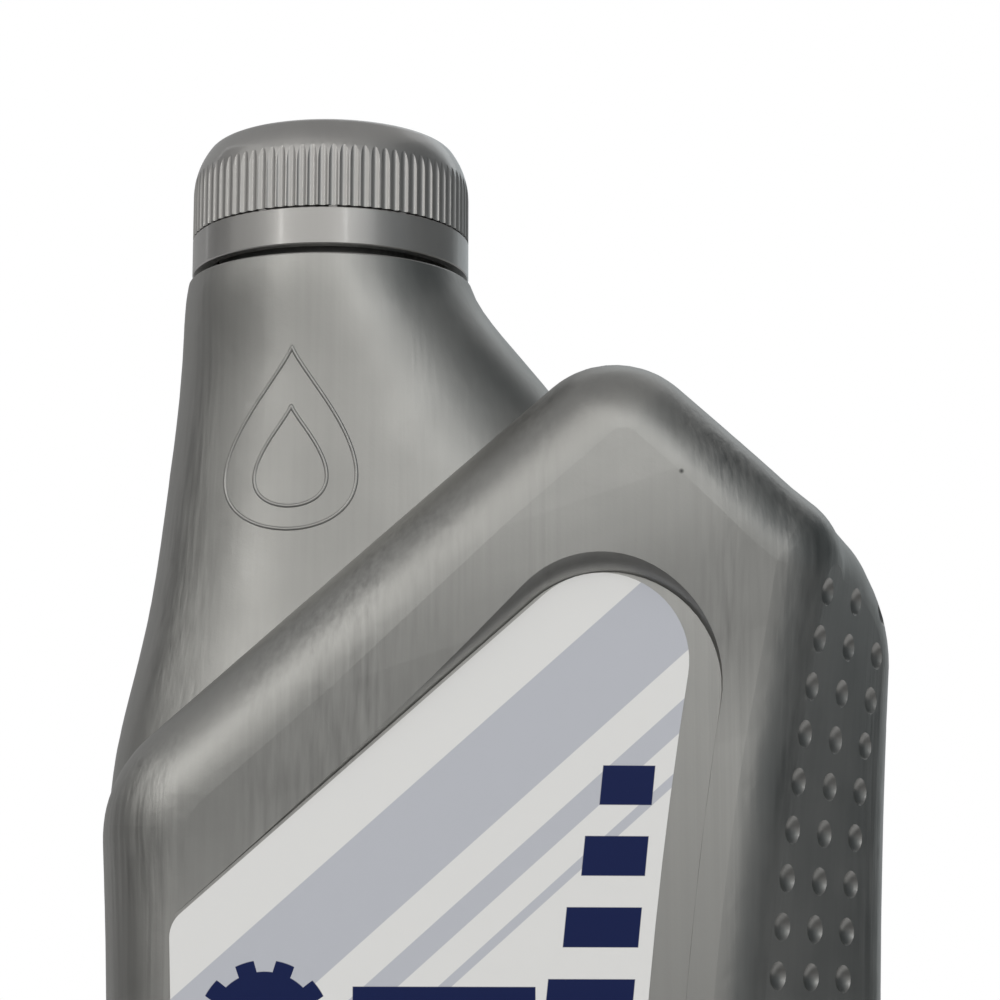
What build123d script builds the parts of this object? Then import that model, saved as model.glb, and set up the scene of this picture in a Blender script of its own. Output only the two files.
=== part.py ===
from build123d import *
from math import asin, atan2, cos, pi, radians, sin, sqrt
import os

# Driving sizes of the blown body, in millimetres, seen from the front
body_reach = 56.0  # middle line to either side of the front outline, before its corners are rounded
face_depth = 30.0  # middle plane to the front face
wall = 1.3  # blown wall
edge_radius = 11.0  # rounding between the faces and the sides
nose_height = 171.0  # where the grip's top meets the right side
nose_radius = 20.0
knee_inset = 8.4  # right side to the top of the grip
knee_rise = 10.0  # nose to the top of the grip
knee_radius = 14.0
kink_inset = 15.0  # right side to where the right roof runs into the grip
kink_rise = 3.1
kink_radius = 25.0
ridge_inset = 42.1  # right side to the roof's peak
ridge_rise = 23.6
ridge_radius = 13.4
left_shoulder_drop = 62.5  # roof's peak to where the slanted roof meets the left side
left_shoulder_radius = 18.0
base_corner_radius = 13.0
left_waist = 2.2  # how far the left side draws in at its middle
nose_waist = 3.2  # the same for the right side

# Shoulder band, which stands proud of the face and fades out along a slanted line
band_rise = 2.6
band_width = 21.0  # roof to the foot of the panel's wall, square to the roof
fade_inset = 28.1  # right side to a point of the fade line
fade_drop = 50.9  # roof's peak to that point
fade_slope = 19.75  # degrees
fade_run = 24.0  # distance over which the band rises
fade_radius = 120.0

# Grip facets at the right edge, given at three heights
grip_strip = 6.0  # half the flat strip left between the front and back facets
grip_radius = 10.0
grip_cut_foot = -20.0  # lowest station of the facet, under the body
grip_waist_share = 0.497  # of the nose's height
grip_top_rise = 34.0  # nose to the highest station, over the body
grip_foot_inset = 16.0  # right side to the facet's front edge at the foot, waist and top
grip_waist_inset = 28.2
grip_top_inset = 5.9

# Dimples on the facets
dimple_sphere = 2.5
dimple_depth = 0.9
dimple_rows = 16
dimple_pitch = 6.5
dimple_first = 17.7  # label to the first column, across
dimple_step = 5.45  # column to column, across
dimple_columns = 3
dimple_clear = 2.4  # least distance from a dimple's middle to the flat strip, across

# Sunk panel and label
label_sink = 0.05
label_thickness = 0.2
label_margin = 0.4  # label's slanted edge to the foot of the panel's wall
label_grip_margin = 5.0  # label's right edge to the same
label_tip_radius = 11.7
label_corner_radius = 4.0
label_side_gap = 8.9  # left side to the label
label_foot_inset = 36.5  # right side to the label's right edge at the three heights of the grip
label_waist_inset = 41.2
label_top_inset = 23.5
label_bottom = 20.0
panel_tip_radius = 15.2
rim_run = 3.8  # width of the panel's rounded wall

# Underside
pushup_inset = 16.0  # outline to the foot of the push-up
pushup_depth = 2.0
pushup_slope = 45.0  # degrees
pushup_corner = 8.0

# Funnel between the neck and the body
neck_inset = 30.5  # left side to the neck's axis
ledge_rise = 11.8  # roof's peak to the ledge under the cap
ledge_radius = 20.7
ledge_edge = 0.35
funnel_drop = 90.0
funnel_left_gap = 0.3  # left side, right side and face to the funnel's foot
funnel_right_gap = 14.0
funnel_depth_gap = 5.7
funnel_points = 24
drop_shares = (0.0, 0.122, 0.254, 0.484, 0.644, 0.772, 0.86, 1.0)
left_shares = (0.0, 0.075, 0.168, 0.411, 0.692, 0.937, 1.0, 0.94)
right_shares = (0.0, 0.16, 0.36, 0.66, 0.85, 0.94, 0.97, 1.0)
depth_shares = (0.0, 0.03, 0.10, 0.30, 0.55, 0.80, 0.91, 1.0)
squareness_shares = (0.0, 0.05, 0.15, 0.40, 0.60, 0.80, 0.90, 1.0)

# Neck finish
neck_radius = 16.4
neck_bore = 14.0
ledge_thickness = 1.6
lip_edge = 0.6
bead_radius = 18.1
bead_height = 1.5

# Tamper ring
ring_gap = 1.3  # ledge to the ring
ring_height = 5.4
ring_radius = 20.25
ring_wall = 1.5
ring_edge = 0.15
hook_rise = 1.6  # ring's foot to the hook
hook_height = 1.9
hook_radius = 17.2
bead_clearance = 0.3  # hook to the bead above it
slit = 0.25  # ring to the cap
bridge_count = 12
bridge_width = 1.2
bridge_depth = 0.8
bridge_height = 0.18

# Cap
cap_radius = 20.25
cap_height = 13.65
cap_side_radius = 11.0  # the side leans in on this radius, then rounds over to the top
cap_side_turn = 36.0  # degrees
cap_top_radius = 1.9
cap_top_thickness = 2.0
cap_wall = 1.85
cap_inner_slope_height = 4.1
flute_count = 84
flute_radius = 0.85
flute_depth = 0.32

# Liner
liner_radius = 16.7
liner_thickness = 1.0
liner_clearance = 0.1  # liner to the lip

# Reach of cutters past the surfaces that they cut, and least turns in degrees of the edges to round
overrun = 20.0
outer_turn = 15.0
grip_turn = 4.0
tip_steps = 12  # steps in which the panel's tip is found

os.makedirs("parts", exist_ok=True)

knee_offset = body_reach - knee_inset
knee_height = nose_height + knee_rise
kink_offset = body_reach - kink_inset
kink_height = knee_height + kink_rise
ridge_offset = body_reach - ridge_inset
ridge_height = kink_height + ridge_rise
left_shoulder_height = ridge_height - left_shoulder_drop
neck_offset = neck_inset - body_reach
ledge_height = ridge_height + ledge_rise
grip_waist_height = nose_height * grip_waist_share
grip_cut_top = nose_height + grip_top_rise
roof_slope = atan2(ridge_height - left_shoulder_height, ridge_offset + body_reach)
roof_along = (cos(roof_slope), sin(roof_slope))
roof_up = (-sin(roof_slope), cos(roof_slope))
panel_floor = face_depth - label_sink
rim_height = band_rise + label_sink
rim_radius = (rim_run**2 + rim_height**2) / (2 * rim_height)
ring_foot = ledge_height + ring_gap
cap_foot = ring_foot + ring_height + slit
cap_top = cap_foot + cap_height
cap_ceiling = cap_top - cap_top_thickness
lip_height = cap_ceiling - liner_thickness - liner_clearance
cap_bore = cap_radius - cap_wall
bead_foot = ring_foot + hook_rise + hook_height + bead_clearance
neck_axis = Axis((neck_offset, 0, 0), (0, 0, 1))
neck_section = Plane(origin=(neck_offset, 0, 0), x_dir=(1, 0, 0), z_dir=(0, -1, 0))


def left_side(height):
    """Left side of the front outline at a height."""
    middle = left_shoulder_height / 2
    return left_waist * (1 - ((height - middle) / middle) ** 2) - body_reach


def nose_side(height):
    """Right side of the front outline at a height."""
    middle = nose_height / 2
    return body_reach - nose_waist * (1 - ((height - middle) / middle) ** 2)


def on_parabola(height, foot, waist, top):
    """Value at a height, on the parabola through the values at the three heights of the grip."""
    low, middle, high = grip_cut_foot, grip_waist_height, grip_cut_top
    foot_share = (height - middle) * (height - high) / ((low - middle) * (low - high))
    waist_share = (height - low) * (height - high) / ((middle - low) * (middle - high))
    top_share = (height - low) * (height - middle) / ((high - low) * (high - middle))
    return foot * foot_share + waist * waist_share + top * top_share


def facet_edge(height):
    """Front edge of the grip facet at a height."""
    return body_reach - on_parabola(height, grip_foot_inset, grip_waist_inset, grip_top_inset)


def label_edge(height):
    """Right edge of the label at a height."""
    return body_reach - on_parabola(height, label_foot_inset, label_waist_inset, label_top_inset)


def roof_height(offset, drop):
    """Height of the left roof line, moved down square to itself by a drop."""
    rise = (offset + body_reach) * roof_along[1] / roof_along[0]
    return left_shoulder_height + rise - drop / roof_along[0]


def panel_tip(margin, grip_margin):
    """Where the slanted edge and the right edge of the panel outline would meet, before rounding."""
    tip = ridge_height
    for _ in range(tip_steps):
        tip = roof_height(label_edge(tip) + grip_margin, band_width + label_margin - margin)
    return label_edge(tip) + grip_margin, tip


def round_corner(sketch, place, radius):
    """Round the corner of a sketch that lies nearest to a place."""
    fillet(sketch.vertices().sort_by_distance(Vector(*place))[0], radius)


def sharp_edges(part, least_turn):
    """Edges of a part where its two faces turn by more than an angle in degrees."""
    sides = {}
    for face in part.faces():
        for edge in face.edges():
            sides.setdefault(edge, []).append(face)
    edges = ShapeList()
    for edge, faces in sides.items():
        middle = edge @ 0.5
        if faces[0].normal_at(middle).get_angle(faces[-1].normal_at(middle)) > least_turn:
            edges.append(edge)
    return edges


def face_cutter(skin):
    """Everything in front of the face and of the band that rises from it."""
    fade = radians(fade_slope)
    across = Plane(
        origin=(body_reach - fade_inset, 0, ridge_height - fade_drop),
        x_dir=(-sin(fade), 0, cos(fade)),
        z_dir=(cos(fade), 0, sin(fade)),
    )
    reach = ridge_height + overrun
    face = face_depth - skin
    band = face + band_rise
    with BuildPart() as cutter:
        with BuildSketch(across):
            with BuildLine():
                FilletPolyline((-reach, face), (0, face), (fade_run, band), (reach, band), radius=fade_radius)
                Polyline((reach, band), (reach, band + overrun), (-reach, band + overrun), (-reach, face))
            make_face()
        extrude(amount=reach, both=True)
    return cutter.part


def facet_cutter(skin):
    """Everything outside the front grip facet."""
    with BuildPart() as cutter:
        for height in (grip_cut_foot, grip_waist_height, grip_cut_top):
            start = Vector(facet_edge(height), -face_depth)
            end = Vector(nose_side(height), -grip_strip)
            along = (end - start).normalized()
            inward = Vector(-along.Y, along.X) * skin
            first = start - along * overrun + inward
            last = end + along * overrun + inward
            with BuildSketch(Plane.XY.offset(height)):
                Polygon(
                    (first.X, first.Y),
                    (last.X, last.Y),
                    (last.X + overrun, first.Y - overrun),
                    (first.X, first.Y - overrun),
                    align=None,
                )
        loft()
    return cutter.part


def panel_cutter(skin):
    """The sunk label panel, with its rounded wall along the band."""
    floor = panel_floor - skin
    inner_radius = rim_radius - skin
    foot = rim_run - sqrt(inner_radius**2 - (rim_radius - rim_height - skin) ** 2)
    grip_margin = label_grip_margin + foot
    outside = -body_reach - overrun
    foot_height = label_bottom - grip_margin
    tip = panel_tip(label_margin + foot, grip_margin)
    right = [(label_edge(h) + grip_margin, h) for h in (foot_height, grip_waist_height)]
    with BuildPart() as cutter:
        with BuildSketch(Plane.XZ.offset(floor)) as outline:
            with BuildLine():
                Line((outside, roof_height(outside, band_width - foot)), tip)
                ThreePointArc(tip, right[1], right[0])
                Polyline(
                    right[0], (outside, foot_height), (outside, roof_height(outside, band_width - foot))
                )
            make_face()
            round_corner(outline, tip, panel_tip_radius + foot)
            round_corner(outline, right[0], label_corner_radius + grip_margin)
        extrude(amount=band_rise + overrun)
    rim = Plane(
        origin=(outside, -floor, roof_height(outside, band_width - foot)),
        x_dir=(roof_up[0], 0, roof_up[1]),
        z_dir=(roof_along[0], 0, roof_along[1]),
    )
    edges = cutter.faces().sort_by(Axis.Y)[-1].edges()
    path = Wire(edges.sort_by(Axis.Z)[-3:])
    middle = (rim_run - foot, rim_height - rim_radius + skin)
    half_turn = (asin((rim_run - foot) / inner_radius)) / 2
    crest = (rim_run - foot, middle[1] + inner_radius)
    half_way = (middle[0] - inner_radius * sin(half_turn), middle[1] + inner_radius * cos(half_turn))
    with BuildPart() as wall_cutter:
        with BuildSketch(rim):
            with BuildLine():
                ThreePointArc((0, 0), half_way, crest)
                Polyline(
                    crest, (crest[0], crest[1] + overrun), (-rim_run, crest[1] + overrun), (-rim_run, 0), (0, 0)
                )
            make_face()
        sweep(path=path)
    return cutter.part + wall_cutter.part


def funnel(skin):
    """The one-sided funnel, lofted from the round ledge to a wide rounded block inside the body."""
    left_run = neck_inset - ledge_radius - funnel_left_gap
    right_run = body_reach - neck_offset - ledge_radius - funnel_right_gap
    depth_run = face_depth - ledge_radius - funnel_depth_gap
    with BuildPart() as form:
        for drop, left, right, depth, squareness in zip(
            drop_shares, left_shares, right_shares, depth_shares, squareness_shares
        ):
            low = neck_offset - ledge_radius - left * left_run + skin
            high = neck_offset + ledge_radius + right * right_run - skin
            half = ledge_radius + depth * depth_run - skin
            power = 2 / (2 + squareness)
            points = []
            for step in range(funnel_points):
                turn = 2 * pi * step / funnel_points
                across = abs(cos(turn)) ** power * (1 if cos(turn) >= 0 else -1)
                deep = abs(sin(turn)) ** power * (1 if sin(turn) >= 0 else -1)
                points.append(((low + high + across * (high - low)) / 2, half * deep))
            top = ledge_height - (ledge_thickness if skin else 0)
            with BuildSketch(Plane.XY.offset(top - drop * funnel_drop)):
                with BuildLine():
                    Spline(*points, periodic=True)
                make_face()
        loft()
        if not skin:
            fillet(form.faces().sort_by(Axis.Z)[-1].edges(), ledge_edge)
    return form.part


def pushup_cutter(skin):
    """The shallow hollow under the base."""
    left = left_side(0) + pushup_inset
    right = facet_edge(0)
    deep = face_depth - pushup_inset
    with BuildPart() as cutter:
        with BuildSketch(Plane.XY):
            with Locations(((left + right) / 2, 0)):
                RectangleRounded(right - left + 2 * skin, 2 * (deep + skin), pushup_corner + skin)
        extrude(amount=pushup_depth + skin, taper=pushup_slope)
    return cutter.part


def blown_form(skin):
    """The closed body, drawn in by a skin: none for the outside, the wall for the inside."""
    with BuildPart() as form:
        with BuildSketch(Plane.XZ) as outline:
            with BuildLine():
                ThreePointArc(
                    (-body_reach, left_shoulder_height),
                    (left_waist - body_reach, left_shoulder_height / 2),
                    (-body_reach, 0),
                )
                Line((-body_reach, 0), (body_reach, 0))
                ThreePointArc(
                    (body_reach, 0), (body_reach - nose_waist, nose_height / 2), (body_reach, nose_height)
                )
                Polyline(
                    (body_reach, nose_height),
                    (knee_offset, knee_height),
                    (kink_offset, kink_height),
                    (ridge_offset, ridge_height),
                    (-body_reach, left_shoulder_height),
                )
            make_face()
            for place, radius in (
                ((-body_reach, left_shoulder_height), left_shoulder_radius),
                ((-body_reach, 0), base_corner_radius),
                ((body_reach, 0), base_corner_radius),
                ((body_reach, nose_height), nose_radius),
                ((knee_offset, knee_height), knee_radius),
                ((kink_offset, kink_height), kink_radius),
                ((ridge_offset, ridge_height), ridge_radius),
            ):
                round_corner(outline, place, radius)
            if skin:
                offset(amount=-skin, mode=Mode.REPLACE)
        extrude(amount=face_depth + band_rise + overrun / 2, both=True)
        front = face_cutter(skin)
        add(front, mode=Mode.SUBTRACT)
        add(mirror(front, about=Plane.XZ, mode=Mode.PRIVATE), mode=Mode.SUBTRACT)
        fillet(sharp_edges(form.part, outer_turn), edge_radius - skin)
        facet = facet_cutter(skin)
        add(facet, mode=Mode.SUBTRACT)
        add(mirror(facet, about=Plane.XZ, mode=Mode.PRIVATE), mode=Mode.SUBTRACT)
        fillet(sharp_edges(form.part, grip_turn), grip_radius - skin)
        add(funnel(skin))
        panel = panel_cutter(skin)
        add(panel, mode=Mode.SUBTRACT)
        add(mirror(panel, about=Plane.XZ, mode=Mode.PRIVATE), mode=Mode.SUBTRACT)
        add(pushup_cutter(skin), mode=Mode.SUBTRACT)
    return form.part


def dimple_places(form):
    """Middles of the dimples on the front facet, row by row."""
    places = []
    for row in range(dimple_rows):
        height = nose_height - row * dimple_pitch
        for column in range(dimple_columns):
            across = label_edge(height) + dimple_first + column * dimple_step
            if across < nose_side(height) - dimple_clear:
                sight = Axis((across, -face_depth - overrun, height), (0, 1, 0))
                places.append(form.find_intersection_points(sight)[0])
    return places


outside = blown_form(0)
inside = blown_form(wall)

with BuildPart() as bottle:
    add(outside)
    middles = [place + facing * (dimple_sphere - dimple_depth) for place, facing in dimple_places(outside)]
    with Locations(*[(m.X, side * m.Y, m.Z) for m in middles for side in (1, -1)]):
        Sphere(dimple_sphere, mode=Mode.SUBTRACT)
    with BuildSketch(neck_section):
        with BuildLine():
            Polyline(
                (0, ledge_height - ledge_thickness / 2),
                (neck_radius, ledge_height - ledge_thickness / 2),
                (neck_radius, lip_height - lip_edge),
                (neck_radius - lip_edge, lip_height),
                (0, lip_height),
                close=True,
            )
        make_face()
    revolve(axis=neck_axis)
    with BuildSketch(Plane(origin=(neck_offset, 0, bead_foot))):
        Circle(bead_radius)
    extrude(amount=bead_height)
    add(inside, mode=Mode.SUBTRACT)
    with BuildSketch(Plane(origin=(neck_offset, 0, ledge_height - ledge_thickness - overrun / 2))):
        Circle(neck_bore)
    extrude(amount=lip_height, mode=Mode.SUBTRACT)
bottle.part.label = "bottle"
export_step(bottle.part, "parts/bottle.step")

with BuildPart() as tamper_ring:
    with BuildSketch(neck_section):
        with BuildLine():
            Polyline(
                (ring_radius - ring_wall, ring_foot),
                (ring_radius - ring_edge, ring_foot),
                (ring_radius, ring_foot + ring_edge),
                (ring_radius, ring_foot + ring_height - ring_edge),
                (ring_radius - ring_edge, ring_foot + ring_height),
                (ring_radius - ring_wall, ring_foot + ring_height),
                (ring_radius - ring_wall, ring_foot + hook_rise + hook_height),
                (hook_radius, ring_foot + hook_rise + hook_height),
                (ring_radius - ring_wall, ring_foot + hook_rise),
                close=True,
            )
        make_face()
    revolve(axis=neck_axis)
    with BuildSketch(Plane(origin=(neck_offset, 0, ring_foot + ring_height))):
        with PolarLocations(ring_radius - ring_wall / 2, bridge_count):
            Rectangle(bridge_depth, bridge_width)
    extrude(amount=bridge_height)
tamper_ring.part.label = "tamper_ring"
export_step(tamper_ring.part, "parts/tamper_ring.step")

with BuildPart() as cap:
    side_rise = cap_side_radius * sin(radians(cap_side_turn))
    crown_rise = cap_top_radius * (1 - sin(radians(cap_side_turn)))
    side_top = cap_top - side_rise - crown_rise
    with BuildSketch(neck_section):
        with BuildLine():
            side = JernArc((cap_radius, side_top), (0, 1), cap_side_radius, cap_side_turn)
            crown = JernArc(side @ 1, side % 1, cap_top_radius, 90 - cap_side_turn)
            Polyline(
                crown @ 1,
                (0, cap_top),
                (0, cap_ceiling),
                (liner_radius + liner_clearance, cap_ceiling),
                (cap_bore, cap_ceiling - cap_inner_slope_height),
                (cap_bore, cap_foot),
                (cap_radius, cap_foot),
                (cap_radius, side_top),
            )
        make_face()
    revolve(axis=neck_axis)
    with BuildSketch(Plane(origin=(neck_offset, 0, cap_foot - slit))):
        with PolarLocations(cap_radius - flute_depth + flute_radius, flute_count):
            Circle(flute_radius)
    extrude(amount=cap_height, mode=Mode.SUBTRACT)
cap.part.label = "cap"
export_step(cap.part, "parts/cap.step")

with BuildPart() as cap_liner:
    with BuildSketch(Plane(origin=(neck_offset, 0, cap_ceiling - liner_thickness))):
        Circle(liner_radius)
    extrude(amount=liner_thickness)
cap_liner.part.label = "cap_liner"
export_step(cap_liner.part, "parts/cap_liner.step")

with BuildPart() as front_label:
    label_band = band_width + label_margin
    left_top = left_side(roof_height(left_side(0) + label_side_gap, label_band)) + label_side_gap
    left_tip = (left_top, roof_height(left_top, label_band))
    left_middle = (left_side(grip_waist_height) + label_side_gap, grip_waist_height)
    left_foot = (left_side(label_bottom) + label_side_gap, label_bottom)
    right_tip = panel_tip(0, 0)
    right_middle = (label_edge(grip_waist_height), grip_waist_height)
    right_foot = (label_edge(label_bottom), label_bottom)
    with BuildSketch(Plane.XZ.offset(panel_floor)) as label_outline:
        with BuildLine():
            ThreePointArc(left_foot, left_middle, left_tip)
            Line(left_tip, right_tip)
            ThreePointArc(right_tip, right_middle, right_foot)
            Line(right_foot, left_foot)
        make_face()
        round_corner(label_outline, right_tip, label_tip_radius)
        for corner in (left_foot, right_foot, left_tip):
            round_corner(label_outline, corner, label_corner_radius)
    extrude(amount=label_thickness)
front_label.part.label = "front_label"
export_step(front_label.part, "parts/front_label.step")
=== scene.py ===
import math
import bpy
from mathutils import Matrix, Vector


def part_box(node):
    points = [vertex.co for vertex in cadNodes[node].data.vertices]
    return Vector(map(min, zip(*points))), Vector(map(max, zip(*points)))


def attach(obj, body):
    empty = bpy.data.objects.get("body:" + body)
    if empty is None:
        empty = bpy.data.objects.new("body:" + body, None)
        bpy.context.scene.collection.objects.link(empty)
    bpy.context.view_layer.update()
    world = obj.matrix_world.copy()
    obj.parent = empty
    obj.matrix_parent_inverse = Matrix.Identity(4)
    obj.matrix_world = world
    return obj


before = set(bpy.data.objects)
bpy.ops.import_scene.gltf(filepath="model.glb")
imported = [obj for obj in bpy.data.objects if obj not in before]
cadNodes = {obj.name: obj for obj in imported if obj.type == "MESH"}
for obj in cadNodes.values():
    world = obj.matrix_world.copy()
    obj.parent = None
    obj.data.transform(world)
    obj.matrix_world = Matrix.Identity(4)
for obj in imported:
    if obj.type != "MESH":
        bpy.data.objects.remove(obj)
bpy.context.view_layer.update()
mm = 0.001
print("frame loaded:", ", ".join(sorted(cadNodes)))


# small helpers for node trees

def link(tree, value, socket):
    # a socket is wired, anything else is set
    if isinstance(value, bpy.types.NodeSocket):
        tree.links.new(value, socket)
    else:
        socket.default_value = value


def addNode(tree, kind, inputs=None, **settings):
    node = tree.nodes.new(kind)
    for name, value in settings.items():
        setattr(node, name, value)
    for key, value in (inputs or {}).items():
        link(tree, value, node.inputs[key])
    return node


def calc(tree, operation, *values, clamp=False):
    node = addNode(tree, "ShaderNodeMath", operation=operation, use_clamp=clamp)
    for socket, value in zip(node.inputs, values):
        link(tree, value, socket)
    return node.outputs[0]


def mixColour(tree, factor, under, over):
    node = addNode(tree, "ShaderNodeMix", data_type="RGBA")
    link(tree, factor, node.inputs[0])
    link(tree, under, node.inputs[6])
    link(tree, over, node.inputs[7])
    return node.outputs[2]


def edgeMask(tree, distance, softness):
    # 1 inside a shape, 0 outside, with an edge as soft as given
    return calc(tree, "MULTIPLY_ADD", distance, -1 / softness, 0.5, clamp=True)


def objectPlaces(tree):
    # the surface's own place in millimetres
    coords = addNode(tree, "ShaderNodeTexCoord")
    scaled = addNode(tree, "ShaderNodeVectorMath", operation="SCALE")
    link(tree, coords.outputs["Object"], scaled.inputs[0])
    scaled.inputs["Scale"].default_value = 1 / mm
    axes = addNode(tree, "ShaderNodeSeparateXYZ", {0: scaled.outputs[0]})
    return scaled.outputs[0], axes.outputs


def newGroup(name, kind, inputs, outputs):
    group = bpy.data.node_groups.new(name, kind)
    for socketName, socketType, value in inputs:
        socket = group.interface.new_socket(name=socketName, in_out="INPUT", socket_type=socketType)
        if value is not None:
            socket.default_value = value
    for socketName, socketType in outputs:
        group.interface.new_socket(name=socketName, in_out="OUTPUT", socket_type=socketType)
    return group, group.nodes.new("NodeGroupInput").outputs, group.nodes.new("NodeGroupOutput").inputs


def placeGroup(tree, kind, group, values):
    node = addNode(tree, kind, node_tree=group)
    for name, value in values.items():
        link(tree, value, node.inputs[name])
    return node.outputs


def newMaterial(name, roughness, metallic):
    material = bpy.data.materials.new(name)
    material.use_nodes = True
    tree = material.node_tree
    shader = tree.nodes["Principled BSDF"]
    shader.inputs["Roughness"].default_value = roughness
    shader.inputs["Metallic"].default_value = metallic
    return material, tree, shader


def dress(node, material):
    node.data.materials.clear()
    node.data.materials.append(material)


# shared finish of the silver plastics: die lines down the surface, soft mottling and fine satin grain

grainLook = {
    "bunchWidth": 14.0,  # of the bunches that the die lines come in, in line widths
    "bunchNoise": (-0.05, 0.2),  # noise at which a bunch starts and is full
    "bunchShown": (0.15, 1.0),  # how much of the lines shows there
    "noiseRoughness": 0.5,
    "bunches": (1.0, 31.0),  # detail and shift of each noise
    "lines": (2.0, 7.0),
    "mottle": (3.0, 3.0),
    "grain": (2.0, 11.0),
}


def mouldedGrainGroup():
    group, given, made = newGroup(
        "mouldedGrain",
        "ShaderNodeTree",
        [
            ("Place", "NodeSocketVector", None),
            ("Line Width", "NodeSocketFloat", 1.2),
            ("Line Length", "NodeSocketFloat", 120.0),
            ("Mottle Size", "NodeSocketFloat", 9.0),
            ("Grain Size", "NodeSocketFloat", 0.35),
        ],
        [("Lines", "NodeSocketFloat"), ("Mottle", "NodeSocketFloat"), ("Grain", "NodeSocketFloat")],
    )

    def noise(width, length, detail, shift):
        across = calc(group, "DIVIDE", 1.0, width)
        along = calc(group, "DIVIDE", 1.0, length)
        stretch = addNode(group, "ShaderNodeCombineXYZ", {0: across, 1: across, 2: along})
        scaled = addNode(group, "ShaderNodeVectorMath", operation="MULTIPLY_ADD")
        link(group, given["Place"], scaled.inputs[0])
        link(group, stretch.outputs[0], scaled.inputs[1])
        scaled.inputs[2].default_value = (shift, shift, shift)
        texture = addNode(group, "ShaderNodeTexNoise", {
            "Vector": scaled.outputs[0], "Scale": 1.0, "Detail": detail,
            "Roughness": grainLook["noiseRoughness"],
        })
        return calc(group, "SUBTRACT", texture.outputs[0], 0.5)

    bunchWidth = calc(group, "MULTIPLY", given["Line Width"], grainLook["bunchWidth"])
    bunches = noise(bunchWidth, given["Line Length"], *grainLook["bunches"])
    starts, full = grainLook["bunchNoise"]
    least, most = grainLook["bunchShown"]
    shown = addNode(group, "ShaderNodeMapRange", {0: bunches, 1: starts, 2: full, 3: least, 4: most})
    fine = noise(given["Line Width"], given["Line Length"], *grainLook["lines"])
    link(group, calc(group, "MULTIPLY", fine, shown.outputs[0]), made["Lines"])
    link(group, noise(given["Mottle Size"], given["Mottle Size"], *grainLook["mottle"]), made["Mottle"])
    link(group, noise(given["Grain Size"], given["Grain Size"], *grainLook["grain"]), made["Grain"])
    return group


mouldedGrain = mouldedGrainGroup()


def silverPlastic(name, finish):
    material, tree, shader = newMaterial(name, finish["roughness"], finish["metallic"])
    grain = placeGroup(tree, "ShaderNodeGroup", mouldedGrain, {
        "Place": objectPlaces(tree)[0],
        "Line Width": finish["lineWidth"],
        "Line Length": finish["lineLength"],
        "Mottle Size": finish["mottleSize"],
        "Grain Size": finish["grainSize"],
    })
    shade = calc(tree, "MULTIPLY_ADD", grain["Lines"], finish["lineDepth"], 1.0)
    shade = calc(tree, "MULTIPLY_ADD", grain["Mottle"], finish["mottleDepth"], shade)
    tinted = addNode(tree, "ShaderNodeVectorMath", operation="SCALE")
    tinted.inputs[0].default_value = finish["colour"]
    link(tree, shade, tinted.inputs["Scale"])
    rough = calc(tree, "MULTIPLY_ADD", grain["Mottle"], finish["roughSpread"], finish["roughness"])
    rough = calc(tree, "MULTIPLY_ADD", grain["Lines"], finish["roughSpread"], rough, clamp=True)
    link(tree, rough, shader.inputs["Roughness"])
    height = calc(tree, "MULTIPLY", grain["Grain"], finish["grainHeight"])
    height = calc(tree, "MULTIPLY_ADD", grain["Lines"], finish["lineHeight"], height)
    return material, tree, shader, tinted.outputs[0], height


def bumpFrom(tree, shader, height, strength):
    bump = addNode(tree, "ShaderNodeBump", {"Strength": strength, "Distance": mm})
    link(tree, height, bump.inputs["Height"])
    link(tree, bump.outputs[0], shader.inputs["Normal"])


# blown bottle: silver-grey satin plastic with its parting line and a few dark specks

bottleFinish = {
    "colour": (0.36, 0.357, 0.344),
    "roughness": 0.40,
    "metallic": 0.97,
    "lineWidth": 0.9,
    "lineLength": 160.0,
    "lineDepth": 0.75,
    "lineHeight": 0.14,
    "mottleSize": 11.0,
    "mottleDepth": 0.10,
    "roughSpread": 0.22,
    "grainSize": 0.4,
    "grainHeight": 0.012,
    "bump": 0.6,
    "seamWidth": 0.35,
    "seamHeight": 0.12,
    "speckSpacing": 21.0,
    "speckRadius": 0.32,
    "speckShare": 0.16,
    "speckColour": (0.015, 0.015, 0.015, 1.0),
}


def bottleMaterial():
    finish = bottleFinish
    material, tree, shader, colour, height = silverPlastic("silverBottle", finish)
    place, axes = objectPlaces(tree)
    cells = addNode(tree, "ShaderNodeTexVoronoi", {"Vector": place, "Scale": 1 / finish["speckSpacing"]})
    radius = finish["speckRadius"]
    outside = calc(tree, "MULTIPLY_ADD", cells.outputs["Distance"], finish["speckSpacing"], -radius)
    spot = edgeMask(tree, outside, radius)
    chance = addNode(tree, "ShaderNodeSeparateColor", {0: cells.outputs["Color"]})
    chosen = calc(tree, "LESS_THAN", chance.outputs[0], finish["speckShare"])
    colour = mixColour(tree, calc(tree, "MULTIPLY", spot, chosen), colour, finish["speckColour"])
    link(tree, colour, shader.inputs["Base Color"])
    fromSeam = calc(tree, "DIVIDE", calc(tree, "ABSOLUTE", axes[1]), finish["seamWidth"])
    seam = calc(tree, "SUBTRACT", 1.0, fromSeam, clamp=True)
    height = calc(tree, "MULTIPLY_ADD", seam, finish["seamHeight"], height)
    bumpFrom(tree, shader, height, finish["bump"])
    return material


bottlePlastic = bottleMaterial()
dress(cadNodes["bottle"], bottlePlastic)
print("bottle dressed")


# screw cap and tamper ring: the same silver, moulded, a little glossier

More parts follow.
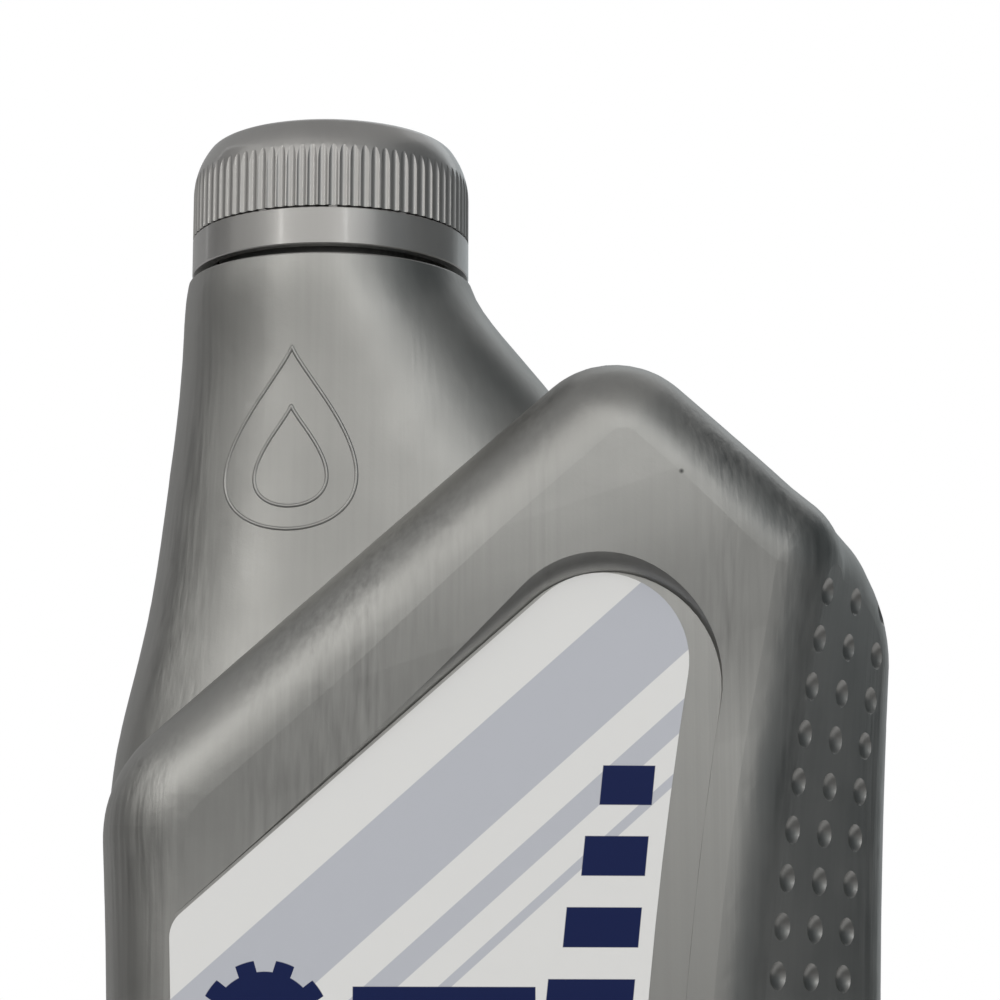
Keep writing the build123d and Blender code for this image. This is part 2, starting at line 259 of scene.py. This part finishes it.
capFinish = {
    "colour": (0.345, 0.338, 0.328),
    "roughness": 0.36,
    "metallic": 0.80,
    "lineWidth": 1.4,
    "lineLength": 30.0,
    "lineDepth": 0.12,
    "lineHeight": 0.01,
    "mottleSize": 6.0,
    "mottleDepth": 0.10,
    "roughSpread": 0.14,
    "grainSize": 0.5,
    "grainHeight": 0.008,
    "bump": 0.5,
    "coat": 0.74,
    "coatRoughness": 0.11,
}


def capMaterial():
    material, tree, shader, colour, height = silverPlastic("silverCap", capFinish)
    link(tree, colour, shader.inputs["Base Color"])
    shader.inputs["Coat Weight"].default_value = capFinish["coat"]
    shader.inputs["Coat Roughness"].default_value = capFinish["coatRoughness"]
    bumpFrom(tree, shader, height, capFinish["bump"])
    return material


capPlastic = capMaterial()
dress(cadNodes["cap"], capPlastic)
dress(cadNodes["tamper_ring"], capPlastic)
print("cap and tamper ring dressed")


# sealing disc: white foam with fine open cells, each cell darkened towards its middle as painted shade in
# the pore

linerFoam = {
    "colour": (0.80, 0.80, 0.77, 1.0),
    "poreShade": (0.60, 0.60, 0.57, 1.0),
    "poreSize": 0.6,
    "poreHeight": 0.06,
    "bump": 0.5,
    "roughness": 0.85,
}


def linerMaterial():
    material, tree, shader = newMaterial("foamLiner", linerFoam["roughness"], 0.0)
    place = objectPlaces(tree)[0]
    cells = addNode(tree, "ShaderNodeTexVoronoi", {"Vector": place, "Scale": 1 / linerFoam["poreSize"]})
    # the darker colour at each cell's middle is painted shade in the pore's hollow, not a colour of the foam
    colour = mixColour(tree, cells.outputs["Distance"], linerFoam["poreShade"], linerFoam["colour"])
    link(tree, colour, shader.inputs["Base Color"])
    height = calc(tree, "MULTIPLY", cells.outputs["Distance"], linerFoam["poreHeight"])
    bumpFrom(tree, shader, height, linerFoam["bump"])
    return material


dress(cadNodes["cap_liner"], linerMaterial())
print("liner dressed")


# front label: satin film printed with plain fields, slanted stripes, a column of bars and a gear sign

labelPrint = {
    "field": (0.660, 0.658, 0.646, 1.0),
    "pale": (0.435, 0.447, 0.485, 1.0),
    "navy": (0.001, 0.008, 0.064, 1.0),
    "roughness": 0.42,
    "roughSpread": 0.12,
    "mottleSize": 14.0,
    "specular": 0.18,
    "edge": 0.10,
    "stripeSlope": 41.9,
    "tipInset": 14.0,  # right edge to the label's highest point
    "stripes": ((6.0, 11.0), (21.5, 3.0), (28.0, 1.2)),
    "lowerFieldTop": 0.42,
    "lowerFieldSlope": -12.0,
    "barCount": 11,
    "barPitch": 9.4,
    "barFill": 0.56,
    "barShort": 7.0,
    "barGrow": 1.5,
    "barMargin": 4.5,
    "barDrop": 24.0,
    "barLean": 0.105,
    "gearPlace": (12.5, 92.0),
    "gearRadius": 7.2,
    "gearTooth": 1.5,
    "gearTeeth": 10,
    "toothSharpness": 4.0,
    "gearHole": 3.1,
    "signBars": ((36.0, 95.6, 12.0, 1.7), (32.0, 90.2, 8.0, 1.1), (34.0, 86.6, 10.0, 1.1)),
}


def printedBarGroup():
    group, given, made = newGroup(
        "printedBar",
        "ShaderNodeTree",
        [
            ("Across", "NodeSocketFloat", 0.0),
            ("Up", "NodeSocketFloat", 0.0),
            ("Middle Across", "NodeSocketFloat", 0.0),
            ("Middle Up", "NodeSocketFloat", 0.0),
            ("Half Length", "NodeSocketFloat", 10.0),
            ("Half Height", "NodeSocketFloat", 1.5),
            ("Edge", "NodeSocketFloat", 0.1),
        ],
        [("Mask", "NodeSocketFloat")],
    )
    gaps = []
    ways = (("Across", "Middle Across", "Half Length"), ("Up", "Middle Up", "Half Height"))
    for place, middle, half in ways:
        away = calc(group, "ABSOLUTE", calc(group, "SUBTRACT", given[place], given[middle]))
        gaps.append(calc(group, "SUBTRACT", away, given[half]))
    distance = calc(group, "DIVIDE", calc(group, "MAXIMUM", *gaps), given["Edge"])
    link(group, edgeMask(group, distance, 1.0), made["Mask"])
    return group


def labelMaterial():
    look = labelPrint
    low, high = (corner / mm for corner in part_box("front_label"))
    material, tree, shader = newMaterial("printedLabel", look["roughness"], 0.0)
    shader.inputs["Specular IOR Level"].default_value = look["specular"]
    place, axes = objectPlaces(tree)
    across = calc(tree, "SUBTRACT", axes[0], low.x)
    up = calc(tree, "SUBTRACT", axes[2], low.z)
    width, tall = high.x - low.x, high.z - low.z

    # distance below the slanted upper edge, which passes the label's upper left corner
    slope = math.radians(look["stripeSlope"])
    cornerUp = tall - (width - look["tipInset"]) * math.tan(slope)
    below = calc(tree, "MULTIPLY", across, math.sin(slope))
    below = calc(tree, "MULTIPLY_ADD", up, -math.cos(slope), below)
    below = calc(tree, "ADD", below, cornerUp * math.cos(slope))
    pale = 0.0
    for start, thickness in look["stripes"]:
        away = calc(tree, "ABSOLUTE", calc(tree, "SUBTRACT", below, start + thickness / 2))
        stripe = edgeMask(tree, calc(tree, "SUBTRACT", away, thickness / 2), look["edge"])
        pale = calc(tree, "MAXIMUM", pale, stripe)
    fieldSlope = math.tan(math.radians(look["lowerFieldSlope"]))
    fieldTop = calc(tree, "MULTIPLY_ADD", across, fieldSlope, tall * look["lowerFieldTop"])
    lowerField = edgeMask(tree, calc(tree, "SUBTRACT", up, fieldTop), look["edge"])
    pale = calc(tree, "MAXIMUM", pale, lowerField)
    colour = mixColour(tree, pale, look["field"], look["pale"])

    # column of bars along the right edge, each longer than the one above it
    topUp = tall - look["barDrop"]
    steps = calc(tree, "DIVIDE", calc(tree, "SUBTRACT", topUp, up), look["barPitch"])
    row = calc(tree, "FLOOR", steps)
    inRow = calc(tree, "FRACT", steps)
    rowMiddle = calc(tree, "ABSOLUTE", calc(tree, "SUBTRACT", inRow, 0.5))
    rowGap = calc(tree, "SUBTRACT", rowMiddle, look["barFill"] / 2)
    rowGap = calc(tree, "MULTIPLY", rowGap, look["barPitch"])
    lean = calc(tree, "MULTIPLY", calc(tree, "SUBTRACT", up, topUp), look["barLean"])
    fromRight = calc(tree, "SUBTRACT", calc(tree, "ADD", lean, width - look["barMargin"]), across)
    length = calc(tree, "MULTIPLY_ADD", row, look["barGrow"], look["barShort"])
    lengthGap = calc(tree, "SUBTRACT", fromRight, length)
    sideGap = calc(tree, "MAXIMUM", lengthGap, calc(tree, "MULTIPLY", fromRight, -1.0))
    bars = edgeMask(tree, calc(tree, "MAXIMUM", rowGap, sideGap), look["edge"])
    started = calc(tree, "GREATER_THAN", steps, 0.0)
    unfinished = calc(tree, "LESS_THAN", steps, float(look["barCount"]))
    navy = calc(tree, "MULTIPLY", bars, calc(tree, "MULTIPLY", started, unfinished))

    # gear sign
    gearX = calc(tree, "SUBTRACT", across, look["gearPlace"][0])
    gearZ = calc(tree, "SUBTRACT", up, look["gearPlace"][1])
    squares = [calc(tree, "POWER", side, 2.0) for side in (gearX, gearZ)]
    radius = calc(tree, "SQRT", calc(tree, "ADD", *squares))
    turn = calc(tree, "MULTIPLY", calc(tree, "ARCTAN2", gearZ, gearX), float(look["gearTeeth"]))
    tooth = calc(tree, "MULTIPLY_ADD", calc(tree, "COSINE", turn), look["toothSharpness"], 0.5, clamp=True)
    rim = calc(tree, "MULTIPLY_ADD", tooth, look["gearTooth"], look["gearRadius"])
    disc = edgeMask(tree, calc(tree, "SUBTRACT", radius, rim), look["edge"])
    hole = edgeMask(tree, calc(tree, "SUBTRACT", look["gearHole"], radius), look["edge"])
    navy = calc(tree, "MAXIMUM", navy, calc(tree, "MULTIPLY", disc, hole))

    # plain bars beside the gear
    printedBar = printedBarGroup()
    for middleAcross, middleUp, halfLength, halfHeight in look["signBars"]:
        bar = placeGroup(tree, "ShaderNodeGroup", printedBar, {
            "Across": across, "Up": up, "Middle Across": middleAcross, "Middle Up": middleUp,
            "Half Length": halfLength, "Half Height": halfHeight, "Edge": look["edge"],
        })
        navy = calc(tree, "MAXIMUM", navy, bar["Mask"])
    colour = mixColour(tree, navy, colour, look["navy"])
    link(tree, colour, shader.inputs["Base Color"])

    grain = placeGroup(tree, "ShaderNodeGroup", mouldedGrain, {
        "Place": place, "Mottle Size": look["mottleSize"],
    })
    rough = calc(tree, "MULTIPLY_ADD", grain["Mottle"], look["roughSpread"], look["roughness"])
    link(tree, rough, shader.inputs["Roughness"])
    return material


dress(cadNodes["front_label"], labelMaterial())
print("label printed")


# threads on the neck and in the cap: one rounded bead each, run on a right-handed spiral

threadSizes = {
    "turns": 1.5,
    "pitch": 4.233,
    "bead": 0.85,
    "neckRadius": 16.4,
    "capBore": 18.4,
    "sink": 0.5,
    "neckStart": 228.6,
    "capStart": 227.4,
    "capTurns": 1.25,
    "fade": 0.08,
    "stepsPerTurn": 72,
    "beadSteps": 12,
}
neckAxisX = (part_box("cap_liner")[0].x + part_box("cap_liner")[1].x) / 2


def finishTree(tree, line, given, output):
    # sweeps a round bead along a line and gives it out as a smooth, dressed mesh
    bead = addNode(tree, "GeometryNodeCurveToMesh", line)
    real = addNode(tree, "GeometryNodeRealizeInstances", {"Geometry": bead.outputs[0]})
    smooth = addNode(tree, "GeometryNodeSetShadeSmooth", {"Geometry": real.outputs[0]})
    dressed = addNode(tree, "GeometryNodeSetMaterial", {
        "Geometry": smooth.outputs[0], "Material": given["Finish"],
    })
    link(tree, dressed.outputs[0], output)


def threadTree():
    tree, given, made = newGroup(
        "threadBead",
        "GeometryNodeTree",
        [
            ("Turns", "NodeSocketFloat", 1.5),
            ("Pitch", "NodeSocketFloat", 0.004),
            ("Radius", "NodeSocketFloat", 0.016),
            ("Bead", "NodeSocketFloat", 0.001),
            ("Fade", "NodeSocketFloat", 0.1),
            ("Start", "NodeSocketVector", None),
            ("Finish", "NodeSocketMaterial", None),
        ],
        [("Thread", "NodeSocketGeometry")],
    )
    climb = calc(tree, "MULTIPLY", given["Turns"], given["Pitch"])
    spiral = addNode(tree, "GeometryNodeCurveSpiral", {
        "Resolution": threadSizes["stepsPerTurn"], "Rotations": given["Turns"],
        "Start Radius": given["Radius"], "End Radius": given["Radius"], "Height": climb, "Reverse": False,
    })
    moved = addNode(tree, "GeometryNodeTransform", {
        "Geometry": spiral.outputs[0], "Translation": given["Start"],
    })
    along = addNode(tree, "GeometryNodeSplineParameter").outputs["Factor"]
    fromEnd = calc(tree, "MINIMUM", along, calc(tree, "SUBTRACT", 1.0, along))
    swell = calc(tree, "SQRT", calc(tree, "DIVIDE", fromEnd, given["Fade"], clamp=True))
    profile = addNode(tree, "GeometryNodeCurvePrimitiveCircle", {
        "Resolution": threadSizes["beadSteps"], "Radius": given["Bead"],
    })
    line = {
        "Curve": moved.outputs[0], "Profile Curve": profile.outputs[0], "Scale": swell, "Fill Caps": True,
    }
    finishTree(tree, line, given, made["Thread"])
    return tree


def socketId(tree, name):
    return next(item.identifier for item in tree.interface.items_tree if item.name == name)


def meshFromTree(name, tree, values):
    # runs a node tree on an empty mesh and keeps the plain mesh it makes
    piece = bpy.data.objects.new(name, bpy.data.meshes.new(name))
    bpy.context.scene.collection.objects.link(piece)
    modifier = piece.modifiers.new(name, "NODES")
    modifier.node_group = tree
    for key, value in values.items():
        modifier[socketId(tree, key)] = value
    evaluated = piece.evaluated_get(bpy.context.evaluated_depsgraph_get())
    plain = bpy.data.meshes.new_from_object(evaluated)
    piece.modifiers.remove(modifier)
    piece.data = plain
    plain.name = name
    return piece


threadBead = threadTree()


def addThread(name, turns, radius, start, finish, body):
    sizes = threadSizes
    piece = meshFromTree(name, threadBead, {
        "Turns": turns, "Pitch": sizes["pitch"] * mm, "Radius": radius * mm, "Bead": sizes["bead"] * mm,
        "Fade": sizes["fade"], "Start": (neckAxisX, 0.0, start * mm), "Finish": finish,
    })
    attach(piece, body)


neckLine = threadSizes["neckRadius"] + threadSizes["bead"] - threadSizes["sink"]
capLine = threadSizes["capBore"] - threadSizes["bead"] + threadSizes["sink"]
addThread(
    "neck_thread", threadSizes["turns"], neckLine, threadSizes["neckStart"],
    bottlePlastic, "bottle",
)
addThread(
    "cap_thread", threadSizes["capTurns"], capLine, threadSizes["capStart"],
    capPlastic, "cap",
)
print("threads run on neck and cap")


# plain drop sign moulded on the funnel: two raised lines laid on the bottle's own surface

dropSign = {
    "middle": (-31.0, 193.0),
    "halfHeight": 13.0,
    "taper": 1.5,
    "innerShare": 0.55,
    "innerDrop": 2.6,
    "bead": 0.32,
    "proud": 0.16,
    "steps": 160,
    "beadSteps": 12,
    "rayStart": -60.0,
    "rayLength": 60.0,
}


def dropTree():
    tree, given, made = newGroup(
        "dropLine",
        "GeometryNodeTree",
        [
            ("Surface", "NodeSocketObject", None),
            ("Middle", "NodeSocketVector", None),
            ("Half Height", "NodeSocketFloat", 0.01),
            ("Taper", "NodeSocketFloat", 1.5),
            ("Bead", "NodeSocketFloat", 0.0003),
            ("Proud", "NodeSocketFloat", 0.0002),
            ("Ray Length", "NodeSocketFloat", 0.06),
            ("Finish", "NodeSocketMaterial", None),
        ],
        [("Line", "NodeSocketGeometry")],
    )
    ring = addNode(tree, "GeometryNodeCurvePrimitiveCircle", {
        "Resolution": dropSign["steps"], "Radius": 1.0,
    })
    along = addNode(tree, "GeometryNodeSplineParameter").outputs["Factor"]
    turn = calc(tree, "MULTIPLY", along, math.tau)
    narrowing = calc(tree, "POWER", calc(tree, "SINE", calc(tree, "DIVIDE", turn, 2.0)), given["Taper"])
    across = calc(tree, "MULTIPLY", calc(tree, "SINE", turn), narrowing)
    across = calc(tree, "MULTIPLY", across, given["Half Height"])
    upward = calc(tree, "MULTIPLY", calc(tree, "COSINE", turn), given["Half Height"])
    outline = addNode(tree, "ShaderNodeCombineXYZ", {"X": across, "Z": upward})
    start = addNode(tree, "ShaderNodeVectorMath", {
        0: outline.outputs[0], 1: given["Middle"],
    }, operation="ADD")
    surface = addNode(tree, "GeometryNodeObjectInfo", {"Object": given["Surface"]})
    ray = addNode(tree, "GeometryNodeRaycast", {
        "Target Geometry": surface.outputs["Geometry"], "Source Position": start.outputs[0],
        "Ray Direction": (0.0, 1.0, 0.0), "Ray Length": given["Ray Length"],
    })
    lift = addNode(tree, "ShaderNodeVectorMath", {0: ray.outputs["Hit Normal"]}, operation="SCALE")
    link(tree, calc(tree, "SUBTRACT", given["Proud"], given["Bead"]), lift.inputs["Scale"])
    seat = addNode(tree, "ShaderNodeVectorMath", {
        0: ray.outputs["Hit Position"], 1: lift.outputs[0],
    }, operation="ADD")
    laid = addNode(tree, "GeometryNodeSetPosition", {
        "Geometry": ring.outputs[0], "Position": seat.outputs[0],
    })
    profile = addNode(tree, "GeometryNodeCurvePrimitiveCircle", {
        "Resolution": dropSign["beadSteps"], "Radius": given["Bead"],
    })
    line = {"Curve": laid.outputs[0], "Profile Curve": profile.outputs[0]}
    finishTree(tree, line, given, made["Line"])
    return tree


def addDropSign():
    tree = dropTree()
    across, up = dropSign["middle"]
    lines = {
        "drop_line_outer": (1.0, 0.0),
        "drop_line_inner": (dropSign["innerShare"], dropSign["innerDrop"]),
    }
    for name, (share, drop) in lines.items():
        piece = meshFromTree(name, tree, {
            "Surface": cadNodes["bottle"],
            "Middle": (across * mm, dropSign["rayStart"] * mm, (up - drop) * mm),
            "Half Height": dropSign["halfHeight"] * share * mm, "Taper": dropSign["taper"],
            "Bead": dropSign["bead"] * mm, "Proud": dropSign["proud"] * mm,
            "Ray Length": dropSign["rayLength"] * mm, "Finish": bottlePlastic,
        })
        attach(piece, "bottle")


addDropSign()
print("drop sign laid on the funnel")


# stage: pale floor, white surround, soft lamps, and grey cards that only reflections see

stageSet = {
    "floorSize": 30.0,
    "floorColour": (0.86, 0.86, 0.86, 1.0),
    "floorRoughness": 0.7,
    "ambient": 0.76,
    "cards": {  # middle, two half sides, level, tint
        "cardFront": ((0.0, -1.60, 0.60), (1.40, 0.0, 0.0), (0.0, 0.0, 0.75), 0.51, (1.0, 1.0, 0.98)),
        "cardFrontLeft": ((-1.25, -0.75, 0.99), (0.0, 0.85, 0.0), (0.0, 0.0, 0.37), 0.56, (1.0, 1.0, 0.98)),
        "cardLowLeft": ((-1.25, -0.75, 0.235), (0.0, 0.85, 0.0), (0.0, 0.0, 0.385), 0.17, (1.0, 1.0, 0.98)),
        "cardLeft": ((-1.25, 0.46, 0.60), (0.0, 0.36, 0.0), (0.0, 0.0, 0.75), 0.16, (1.0, 1.0, 1.0)),
        "cardFrontRight": ((0.90, -1.00, 0.60), (0.0, 0.60, 0.0), (0.0, 0.0, 0.75), 0.20, (0.90, 1.0, 1.05)),
        "cardRight": ((0.90, 0.20, 0.60), (0.0, 0.60, 0.0), (0.0, 0.0, 0.75), 0.07, (0.85, 1.0, 1.08)),
        "cardBackLeft": ((-0.60, 0.90, 0.60), (0.60, 0.0, 0.0), (0.0, 0.0, 0.75), 0.36, (1.0, 1.0, 1.0)),
        "cardBackRight": ((0.60, 0.90, 0.60), (0.60, 0.0, 0.0), (0.0, 0.0, 0.75), 0.54, (0.93, 1.0, 1.03)),
        "cardTop": ((0.0, -0.30, 1.40), (1.20, 0.0, 0.0), (0.0, 1.30, 0.0), 0.37, (1.0, 1.0, 1.0)),
        "cardNearFront": ((0.0, -0.17, 0.002), (1.20, 0.0, 0.0), (0.0, 0.13, 0.0), 0.15, (1.0, 1.0, 1.0)),
        "cardLowFront": ((0.0, -0.86, 0.002), (1.20, 0.0, 0.0), (0.0, 0.56, 0.0), 0.33, (1.0, 1.0, 1.0)),
        "cardLowBack": ((0.0, 0.45, 0.002), (1.20, 0.0, 0.0), (0.0, 0.49, 0.0), 0.55, (1.0, 1.0, 1.0)),
    },
}


def whiteToEye():
    # white for the camera and in reflections past the cards, a plain level for light
    world = bpy.data.worlds.new("surround")
    bpy.context.scene.world = world
    world.use_nodes = True
    tree = world.node_tree
    tree.nodes.clear()
    path = addNode(tree, "ShaderNodeLightPath")
    seen = calc(tree, "MAXIMUM", path.outputs["Is Camera Ray"], path.outputs["Is Glossy Ray"])
    seen = calc(tree, "MAXIMUM", seen, path.outputs["Is Transmission Ray"])
    strength = addNode(tree, "ShaderNodeMapRange", {0: seen, 3: stageSet["ambient"], 4: 1.0})
    background = addNode(tree, "ShaderNodeBackground", {0: (1.0, 1.0, 1.0, 1.0), 1: strength.outputs[0]})
    output = addNode(tree, "ShaderNodeOutputWorld")
    link(tree, background.outputs[0], output.inputs[0])


def flatSheet(name, middle, across, upward, material):
    # a rectangle given by its middle and two half sides
    middle, across, upward = Vector(middle), Vector(across), Vector(upward)
    corners = [
        middle - across - upward,
        middle + across - upward,
        middle + across + upward,
        middle - across + upward,
    ]
    mesh = bpy.data.meshes.new(name)
    mesh.from_pydata([tuple(c) for c in corners], [], [(0, 1, 2, 3)])
    mesh.materials.append(material)
    sheet = bpy.data.objects.new(name, mesh)
    bpy.context.scene.collection.objects.link(sheet)
    return sheet


def cardMaterial(name, level, tint):
    material, _, shader = newMaterial(name, 1.0, 0.0)
    shader.inputs["Base Color"].default_value = (0.0, 0.0, 0.0, 1.0)
    shader.inputs["Specular IOR Level"].default_value = 0.0
    shader.inputs["Emission Color"].default_value = (*tint, 1.0)
    shader.inputs["Emission Strength"].default_value = level
    return material


def buildStage():
    floorFinish, _, shader = newMaterial("paleFloor", stageSet["floorRoughness"], 0.0)
    shader.inputs["Base Color"].default_value = stageSet["floorColour"]
    half = stageSet["floorSize"] / 2
    flatSheet("floor", (0, 0, 0), (half, 0, 0), (0, half, 0), floorFinish)
    for name, (middle, across, upward, level, tint) in stageSet["cards"].items():
        card = flatSheet(name, middle, across, upward, cardMaterial(name, level, tint))
        card.visible_camera = False
        card.visible_diffuse = False
        card.visible_shadow = False
        card.visible_transmission = False
    whiteToEye()


def addLamp(name, place, target, size, power, colour):
    light = bpy.data.lights.new(name, "AREA")
    light.shape = "RECTANGLE"
    light.size, light.size_y = size
    light.energy = power
    light.color = colour
    lamp = bpy.data.objects.new(name, light)
    lamp.location = place
    lamp.rotation_euler = (Vector(target) - Vector(place)).to_track_quat("-Z", "Y").to_euler()
    bpy.context.scene.collection.objects.link(lamp)


lampSet = {  # turn and rise in degrees as seen from the bottle, distance, size, power, colour
    "target": (-0.01, 0.0, 0.17),
    "lamps": {
        "keyLamp": (-20.0, 30.0, 1.15, (1.2, 0.75), 2.32, (1.0, 0.99, 0.965)),
        "leftLamp": (-65.0, 30.0, 1.15, (1.10, 0.70), 0.79, (1.0, 0.99, 0.965)),
        "rightLamp": (22.0, 23.0, 1.15, (0.50, 0.50), 0.67, (0.97, 0.99, 1.0)),
        "backLamp": (155.0, 45.0, 1.20, (1.20, 0.90), 1.46, (0.97, 0.985, 1.0)),
        "leftStrip": (-43.0, 17.0, 1.00, (0.05, 0.34), 0.24, (1.0, 0.99, 0.965)),
        "rightStrip": (10.0, 17.0, 1.00, (0.05, 0.34), 0.20, (1.0, 0.995, 0.98)),
        "gripStrip": (128.0, 15.0, 0.80, (0.16, 0.50), 0.06, (0.95, 1.0, 1.0)),
    },
}


def lightStage():
    target = Vector(lampSet["target"])
    for name, (turn, rise, distance, size, power, colour) in lampSet["lamps"].items():
        turn, rise = math.radians(turn), math.radians(rise)
        way = Vector((math.sin(turn) * math.cos(rise), -math.cos(turn) * math.cos(rise), math.sin(rise)))
        addLamp(name, target + way * distance, target, size, power, colour)


buildStage()
lightStage()
print("stage and lamps set")


# camera at the photograph's angle, close to the bottle's upper half

cameraSet = {
    "place": (-0.0303, -0.4300, 0.1042),
    "yaw": 3.96,
    "pitch": 11.04,
    "lens": 108.6,
    "sensor": 36.0,
    "clipStart": 0.01,
}


def addCamera():
    camera = bpy.data.cameras.new("camera")
    camera.sensor_width = cameraSet["sensor"]
    camera.lens = cameraSet["lens"]
    camera.clip_start = cameraSet["clipStart"]
    eye = bpy.data.objects.new("camera", camera)
    eye.location = cameraSet["place"]
    eye.rotation_euler = (math.radians(90 + cameraSet["pitch"]), 0.0, math.radians(-cameraSet["yaw"]))
    bpy.context.scene.collection.objects.link(eye)
    bpy.context.scene.camera = eye


addCamera()
bpy.context.scene.view_settings.view_transform = "Standard"
print("camera set")
